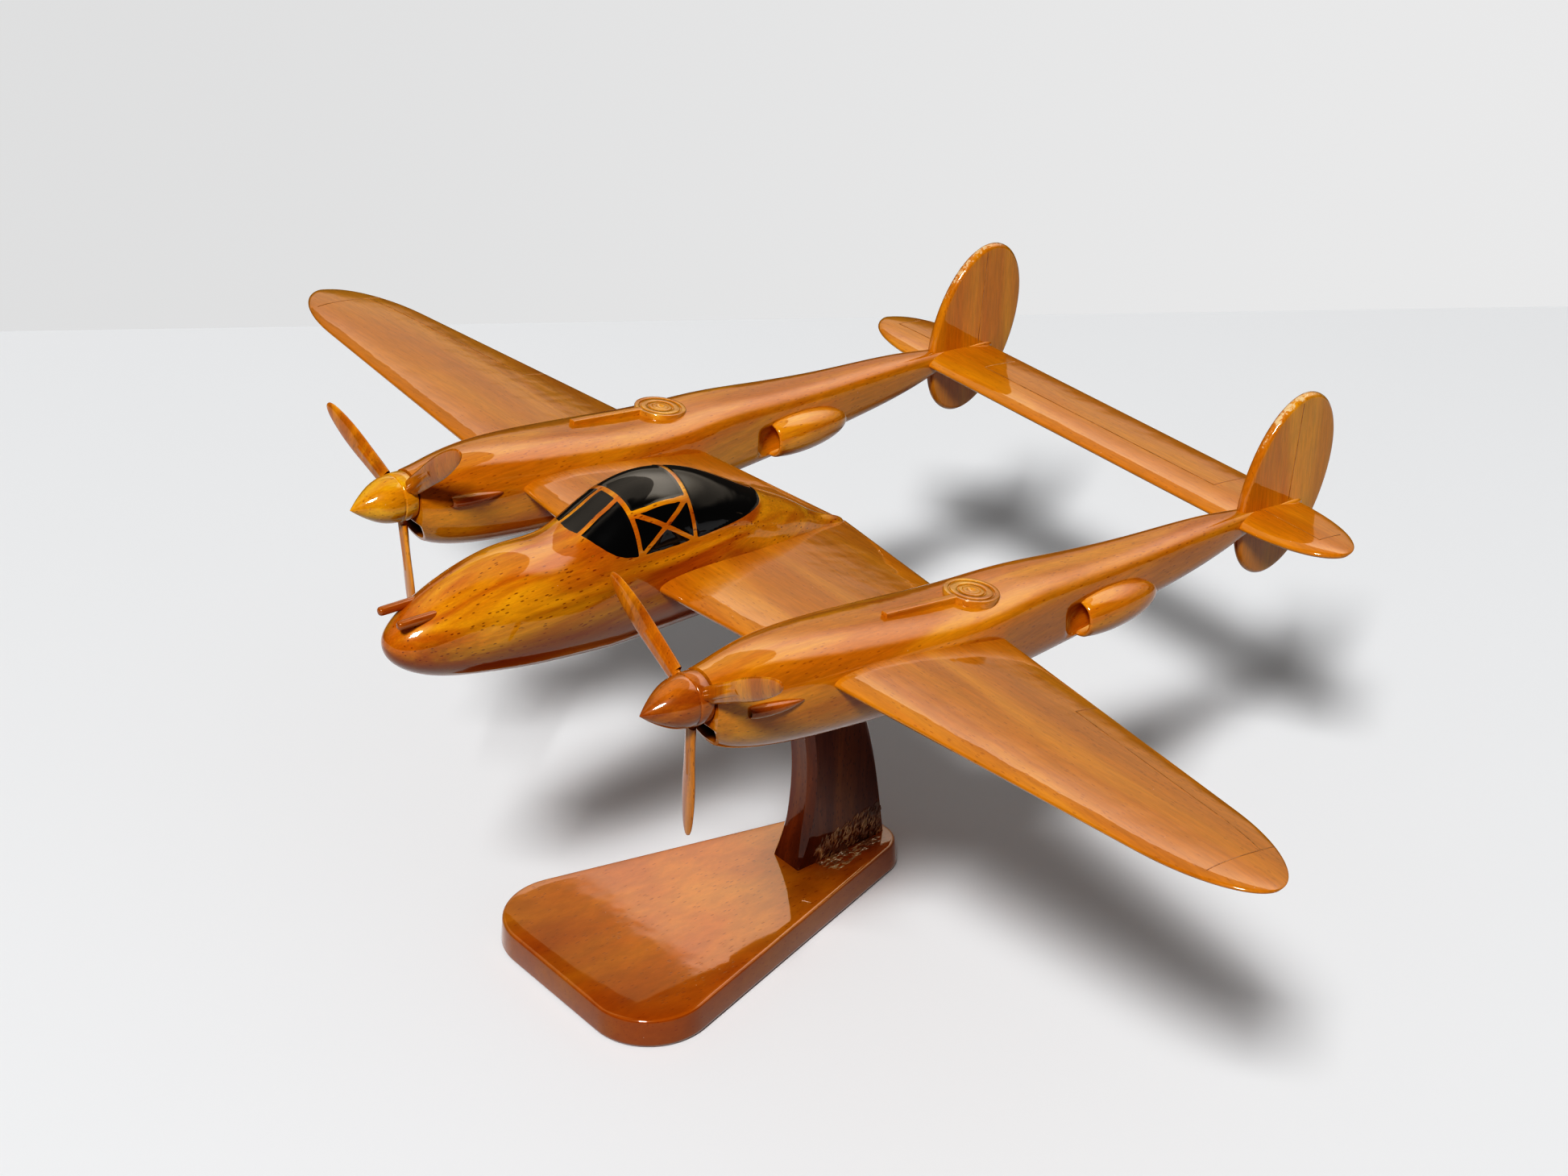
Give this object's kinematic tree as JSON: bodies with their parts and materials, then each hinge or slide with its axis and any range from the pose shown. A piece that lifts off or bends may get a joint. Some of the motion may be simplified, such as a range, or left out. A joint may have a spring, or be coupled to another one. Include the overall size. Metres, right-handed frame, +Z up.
{
  "type": "wooden desk model aeroplane",
  "caption": "Lacquered carved wooden model of a twin-boom, twin-engine monoplane with turning propellers, lifted nose-up on a tapered wooden stand.",
  "frame": {"origin": "centre of the underside of the stand's base", "axes": "+Z up, nose of the aircraft towards -Y, port wing towards +X"},
  "size_m": [0.3868, 0.2586, 0.148],
  "materials": {
    "airframe_wood": "gloss lacquer over honey to red-brown hardwood",
    "stand_wood": "gloss lacquer over dark red-brown hardwood",
    "propeller_wood": "gloss lacquer over light golden hardwood",
    "dowel_wood": "straight-grained turned wood",
    "brass": "satin",
    "steel": "zinc-plated satin"
  },
  "bodies": {
    "stand": {"stand_base": "stand_wood", "stand_post": "stand_wood", "stand_screws": "steel", "peg_front": "dowel_wood", "peg_rear": "dowel_wood"},
    "aircraft": {"boom_port": "airframe_wood", "boom_starboard": "airframe_wood", "centre_pod": "airframe_wood", "duct_strip_port": "airframe_wood", "duct_strip_starboard": "airframe_wood", "exhaust_inner_port": "airframe_wood", "exhaust_inner_starboard": "airframe_wood", "exhaust_outer_port": "airframe_wood", "exhaust_outer_starboard": "airframe_wood", "fin_port": "airframe_wood", "fin_starboard": "airframe_wood", "gun_port": "dowel_wood", "gun_starboard": "dowel_wood", "propeller_pin_port": "brass", "propeller_pin_starboard": "brass", "radiator_inner_port": "airframe_wood", "radiator_inner_starboard": "airframe_wood", "radiator_outer_port": "airframe_wood", "radiator_outer_starboard": "airframe_wood", "supercharger_port": "airframe_wood", "supercharger_starboard": "airframe_wood", "tailplane_centre": "airframe_wood", "tailplane_tip_port": "airframe_wood", "tailplane_tip_starboard": "airframe_wood", "wing_dowels_port": "dowel_wood", "wing_dowels_starboard": "dowel_wood", "wing_inner_port": "airframe_wood", "wing_inner_starboard": "airframe_wood", "wing_outer_port": "airframe_wood", "wing_outer_starboard": "airframe_wood"},
    "propeller_port": {"blade_port_1": "propeller_wood", "blade_port_2": "propeller_wood", "blade_port_3": "propeller_wood", "hub_bush_port": "brass", "spinner_cone_port": "propeller_wood", "spinner_hub_port": "propeller_wood"},
    "propeller_starboard": {"blade_starboard_1": "propeller_wood", "blade_starboard_2": "propeller_wood", "blade_starboard_3": "propeller_wood", "hub_bush_starboard": "brass", "spinner_cone_starboard": "propeller_wood", "spinner_hub_starboard": "propeller_wood"}
  },
  "joints": [
    {"name": "lift_off", "type": "slide", "parent": "stand", "child": "aircraft", "axis": [0, 0, 1], "range_m": [0, 0.025]},
    {"name": "propeller_port_spin", "type": "hinge", "parent": "aircraft", "child": "propeller_port", "pos_m": [0.062, -0.07, 0.1245], "axis": [0, 0.9981, -0.061], "continuous": true},
    {"name": "propeller_starboard_spin", "type": "hinge", "parent": "aircraft", "child": "propeller_starboard", "pos_m": [-0.062, -0.07, 0.1245], "axis": [0, 0.9981, -0.061], "continuous": true}
  ]
}
